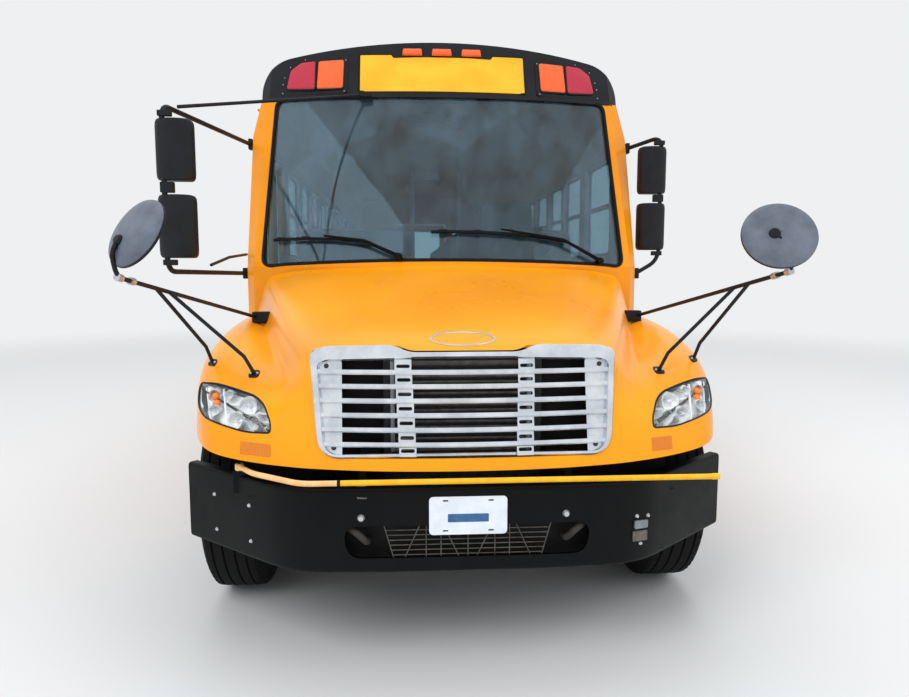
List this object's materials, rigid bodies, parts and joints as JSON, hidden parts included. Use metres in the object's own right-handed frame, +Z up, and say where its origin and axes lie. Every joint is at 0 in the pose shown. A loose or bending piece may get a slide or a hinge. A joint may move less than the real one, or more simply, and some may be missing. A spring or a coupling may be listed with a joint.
{
  "type": "school bus",
  "caption": "Bonneted school bus with a forward-tilting hood, steered front wheels, twin rear wheels, folding entrance door, rear emergency door, roof hatches, stop arm and crossing arm.",
  "frame": {"origin": "on the ground under the middle of the bus's length and width", "axes": "+Z up, +X to the bus's own left, the front faces -Y"},
  "size_m": [2.88, 11.2, 3.1413],
  "materials": {
    "bus_yellow": "gloss",
    "roof_yellow": "gloss",
    "cap_black": "satin",
    "black_steel": "satin",
    "black_plastic": "satin",
    "chassis_black": "satin",
    "engine_iron": "rough",
    "radiator_alloy": "satin",
    "exhaust_steel": "worn",
    "floor_rubber": "ribbed",
    "grille_chrome": "polished",
    "lamp_clear": "clear",
    "lamp_lens": "ribbed",
    "sign_yellow": "gloss",
    "plate_white": "satin",
    "arm_yellow": "gloss",
    "stop_red": "reflective",
    "hatch_white": "satin",
    "seat_vinyl": "grained",
    "dash_grey": "grained",
    "tyre": "worn",
    "wheel_black": "satin",
    "glass": "clear"
  },
  "bodies": {
    "body": {"body_lamps": "lamp_lens", "bumpers": "black_steel", "chassis_frame": "chassis_black", "dashboard": "dash_grey", "engine": "engine_iron", "exhaust": "exhaust_steel", "floor": "floor_rubber", "floor_wells": "floor_rubber", "front_axle": "chassis_black", "front_cap": "cap_black", "front_frame": "bus_yellow", "fuel_tank": "chassis_black", "number_plate": "plate_white", "radiator": "radiator_alloy", "rear_axle": "chassis_black", "rear_wall": "bus_yellow", "roof": "roof_yellow", "roof_panel_front": "roof_yellow", "roof_panel_rear": "roof_yellow", "rub_rails": "black_steel", "seats": "seat_vinyl", "side_mirrors": "black_plastic", "side_wall_left": "bus_yellow", "side_wall_right": "bus_yellow", "sign_panels": "sign_yellow", "windows": "glass", "windshield": "glass"},
    "hood": {"hood": "bus_yellow", "grille": "grille_chrome", "headlamps": "lamp_clear", "crossview_mirrors": "black_plastic"},
    "crossing_arm": {"crossing_arm": "arm_yellow"},
    "knuckle_left": {"knuckle_left": "engine_iron"},
    "knuckle_right": {"knuckle_right": "engine_iron"},
    "tie_rod": {"tie_rod": "chassis_black"},
    "wheel_front_left": {"wheel_front_left": "wheel_black", "tyre_front_left": "tyre"},
    "wheel_front_right": {"wheel_front_right": "wheel_black", "tyre_front_right": "tyre"},
    "wheel_rear_left": {"wheel_rear_left": "wheel_black", "tyres_rear_left": "tyre"},
    "wheel_rear_right": {"wheel_rear_right": "wheel_black", "tyres_rear_right": "tyre"},
    "entrance_front": {"entrance_door_front": "bus_yellow", "entrance_glass_front": "glass"},
    "entrance_rear": {"entrance_door_rear": "bus_yellow", "entrance_glass_rear": "glass"},
    "emergency": {"emergency_door": "bus_yellow", "emergency_glass": "glass"},
    "stop_arm": {"stop_arm": "stop_red"},
    "hatch_front": {"roof_hatch_front": "hatch_white"},
    "hatch_rear": {"roof_hatch_rear": "hatch_white"}
  },
  "joints": [
    {"name": "steer_left", "type": "hinge", "parent": "body", "child": "knuckle_left", "pos_m": [0.88, -4.539, 0.525], "axis": [0, 0, 1], "range_deg": [-38, 38]},
    {"name": "steer_right", "type": "hinge", "parent": "body", "child": "knuckle_right", "pos_m": [-0.88, -4.539, 0.525], "axis": [0, 0, 1], "range_deg": [-38, 38]},
    {"name": "tie_rod_eye", "type": "hinge", "parent": "knuckle_left", "child": "tie_rod", "pos_m": [0.88, -4.309, 0.43], "axis": [0, 0, 1], "range_deg": [-38, 38]},
    {"name": "hood_tilt", "type": "hinge", "parent": "body", "child": "hood", "pos_m": [0, -5.449, 0.832], "axis": [1, 0, 0], "range_deg": [0, 60]},
    {"name": "crossing_arm_swing", "type": "hinge", "parent": "body", "child": "crossing_arm", "pos_m": [-0.925, -5.327, 0.812], "axis": [0, 0, -1], "range_deg": [0, 100]},
    {"name": "entrance_front_swing", "type": "hinge", "parent": "body", "child": "entrance_front", "pos_m": [-1.229, -3.365, 0.6], "axis": [0, 0, 1], "range_deg": [0, 90]},
    {"name": "entrance_rear_swing", "type": "hinge", "parent": "body", "child": "entrance_rear", "pos_m": [-1.229, -2.609, 0.6], "axis": [0, 0, 1], "range_deg": [-90, 0]},
    {"name": "emergency_swing", "type": "hinge", "parent": "body", "child": "emergency", "pos_m": [0.478, 5.548, 1.25], "axis": [0, 0, -1], "range_deg": [0, 110]},
    {"name": "stop_arm_swing", "type": "hinge", "parent": "body", "child": "stop_arm", "pos_m": [1.259, -2.499, 1.53], "axis": [0, 0, -1], "range_deg": [0, 90]},
    {"name": "hatch_front_tilt", "type": "hinge", "parent": "body", "child": "hatch_front", "pos_m": [0, -1.609, 3.1173], "axis": [1, 0, 0], "range_deg": [0, 80]},
    {"name": "hatch_rear_tilt", "type": "hinge", "parent": "body", "child": "hatch_rear", "pos_m": [0, 2.991, 3.1173], "axis": [1, 0, 0], "range_deg": [0, 80]},
    {"name": "wheel_front_left_spin", "type": "hinge", "parent": "knuckle_left", "child": "wheel_front_left", "pos_m": [1.06, -4.539, 0.525], "axis": [1, 0, 0], "continuous": true},
    {"name": "wheel_front_right_spin", "type": "hinge", "parent": "knuckle_right", "child": "wheel_front_right", "pos_m": [-1.06, -4.539, 0.525], "axis": [1, 0, 0], "continuous": true},
    {"name": "wheel_rear_left_spin", "type": "hinge", "parent": "body", "child": "wheel_rear_left", "pos_m": [0.9, 2.04, 0.525], "axis": [1, 0, 0], "continuous": true},
    {"name": "wheel_rear_right_spin", "type": "hinge", "parent": "body", "child": "wheel_rear_right", "pos_m": [-0.9, 2.04, 0.525], "axis": [1, 0, 0], "continuous": true}
  ],
  "couplings": [
    {"joint": "steer_right", "follows": "steer_left", "ratio": 1},
    {"joint": "tie_rod_eye", "follows": "steer_left", "ratio": -1},
    {"joint": "entrance_rear_swing", "follows": "entrance_front_swing", "ratio": -1}
  ]
}
